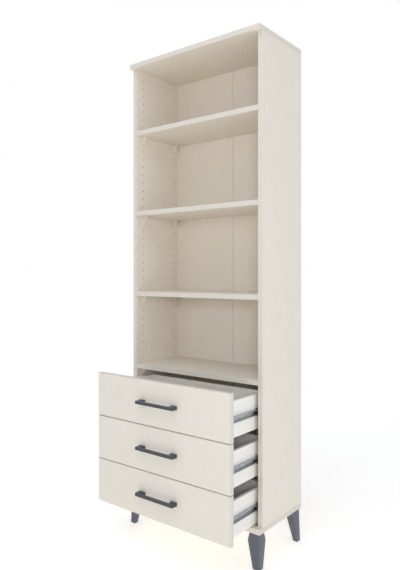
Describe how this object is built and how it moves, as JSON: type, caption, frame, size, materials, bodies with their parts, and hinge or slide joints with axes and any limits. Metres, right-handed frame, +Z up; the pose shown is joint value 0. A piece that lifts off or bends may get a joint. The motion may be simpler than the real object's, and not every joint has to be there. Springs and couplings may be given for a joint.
{
  "type": "bookcase with bottom drawers",
  "caption": "Tall narrow bookcase on short tapered legs, with open adjustable shelves above and shallow pull-out drawers on ball slides below.",
  "frame": {"origin": "floor level, at the middle of the piece's width and of its depth with the drawers as at rest", "axes": "+Z up, +X to the right as seen from the front, +Y from the front to the back"},
  "size_m": [0.6, 0.49, 1.82],
  "materials": {
    "cashmere_board": "matte melamine, cashmere beige",
    "white_board": "matte melamine, white",
    "back_sheet": "lacquered fibreboard",
    "strip_plastic": "satin",
    "cap_plastic": "satin",
    "support_plastic": "satin",
    "zinc_screw": "zinc plated",
    "beech": "raw beech, fluted",
    "graphite_plastic": "satin",
    "graphite_metal": "satin powder coat",
    "glide_plastic": "matte",
    "slide_steel": "zinc plated, satin",
    "stop_plastic": "matte"
  },
  "bodies": {
    "carcass": {"top_panel": "cashmere_board", "bottom_panel": "cashmere_board", "side_panel_right": "cashmere_board", "side_panel_left": "cashmere_board", "shelf_above_drawers": "cashmere_board", "shelf_lower": "cashmere_board", "shelf_middle": "cashmere_board", "shelf_upper": "cashmere_board", "back_panel_right": "back_sheet", "back_panel_left": "back_sheet", "back_joint_strip": "strip_plastic", "screw_caps": "cap_plastic", "carcass_screws": "zinc_screw", "leg_screws": "zinc_screw", "cabinet_rail_screws": "zinc_screw", "carcass_dowels": "beech", "shelf_supports": "support_plastic", "leg_front_left": "graphite_plastic", "leg_front_right": "graphite_plastic", "leg_rear_left": "graphite_plastic", "leg_rear_right": "graphite_plastic", "leg_glides": "glide_plastic", "cabinet_rails": "slide_steel", "rail_stops": "stop_plastic"},
    "drawer_bottom": {"drawer_bottom_front": "cashmere_board", "drawer_bottom_handle": "graphite_metal", "drawer_bottom_handle_screws": "zinc_screw", "drawer_bottom_cam_fittings": "zinc_screw", "drawer_bottom_box_screws": "zinc_screw", "drawer_bottom_rail_screws": "zinc_screw", "drawer_bottom_side_right": "white_board", "drawer_bottom_side_left": "white_board", "drawer_bottom_back": "white_board", "drawer_bottom_bottom": "white_board", "drawer_bottom_rails": "slide_steel"},
    "cages_bottom": {"drawer_bottom_ball_cages": "slide_steel"},
    "drawer_middle": {"drawer_middle_front": "cashmere_board", "drawer_middle_handle": "graphite_metal", "drawer_middle_handle_screws": "zinc_screw", "drawer_middle_cam_fittings": "zinc_screw", "drawer_middle_box_screws": "zinc_screw", "drawer_middle_rail_screws": "zinc_screw", "drawer_middle_side_right": "white_board", "drawer_middle_side_left": "white_board", "drawer_middle_back": "white_board", "drawer_middle_bottom": "white_board", "drawer_middle_rails": "slide_steel"},
    "cages_middle": {"drawer_middle_ball_cages": "slide_steel"},
    "drawer_top": {"drawer_top_front": "cashmere_board", "drawer_top_handle": "graphite_metal", "drawer_top_handle_screws": "zinc_screw", "drawer_top_cam_fittings": "zinc_screw", "drawer_top_box_screws": "zinc_screw", "drawer_top_rail_screws": "zinc_screw", "drawer_top_side_right": "white_board", "drawer_top_side_left": "white_board", "drawer_top_back": "white_board", "drawer_top_bottom": "white_board", "drawer_top_rails": "slide_steel"},
    "cages_top": {"drawer_top_ball_cages": "slide_steel"}
  },
  "joints": [
    {"name": "drawer_bottom_slide", "type": "slide", "parent": "carcass", "child": "drawer_bottom", "axis": [0, -1, 0], "range_m": [-0.168, 0.017]},
    {"name": "drawer_middle_slide", "type": "slide", "parent": "carcass", "child": "drawer_middle", "axis": [0, -1, 0], "range_m": [-0.168, 0.017]},
    {"name": "drawer_top_slide", "type": "slide", "parent": "carcass", "child": "drawer_top", "axis": [0, -1, 0], "range_m": [-0.168, 0.017]},
    {"name": "cages_bottom_slide", "type": "slide", "parent": "carcass", "child": "cages_bottom", "axis": [0, -1, 0], "range_m": [-0.084, 0.0085]},
    {"name": "cages_middle_slide", "type": "slide", "parent": "carcass", "child": "cages_middle", "axis": [0, -1, 0], "range_m": [-0.084, 0.0085]},
    {"name": "cages_top_slide", "type": "slide", "parent": "carcass", "child": "cages_top", "axis": [0, -1, 0], "range_m": [-0.084, 0.0085]}
  ],
  "couplings": [
    {"joint": "cages_bottom_slide", "follows": "drawer_bottom_slide", "ratio": 0.5},
    {"joint": "cages_middle_slide", "follows": "drawer_middle_slide", "ratio": 0.5},
    {"joint": "cages_top_slide", "follows": "drawer_top_slide", "ratio": 0.5}
  ]
}
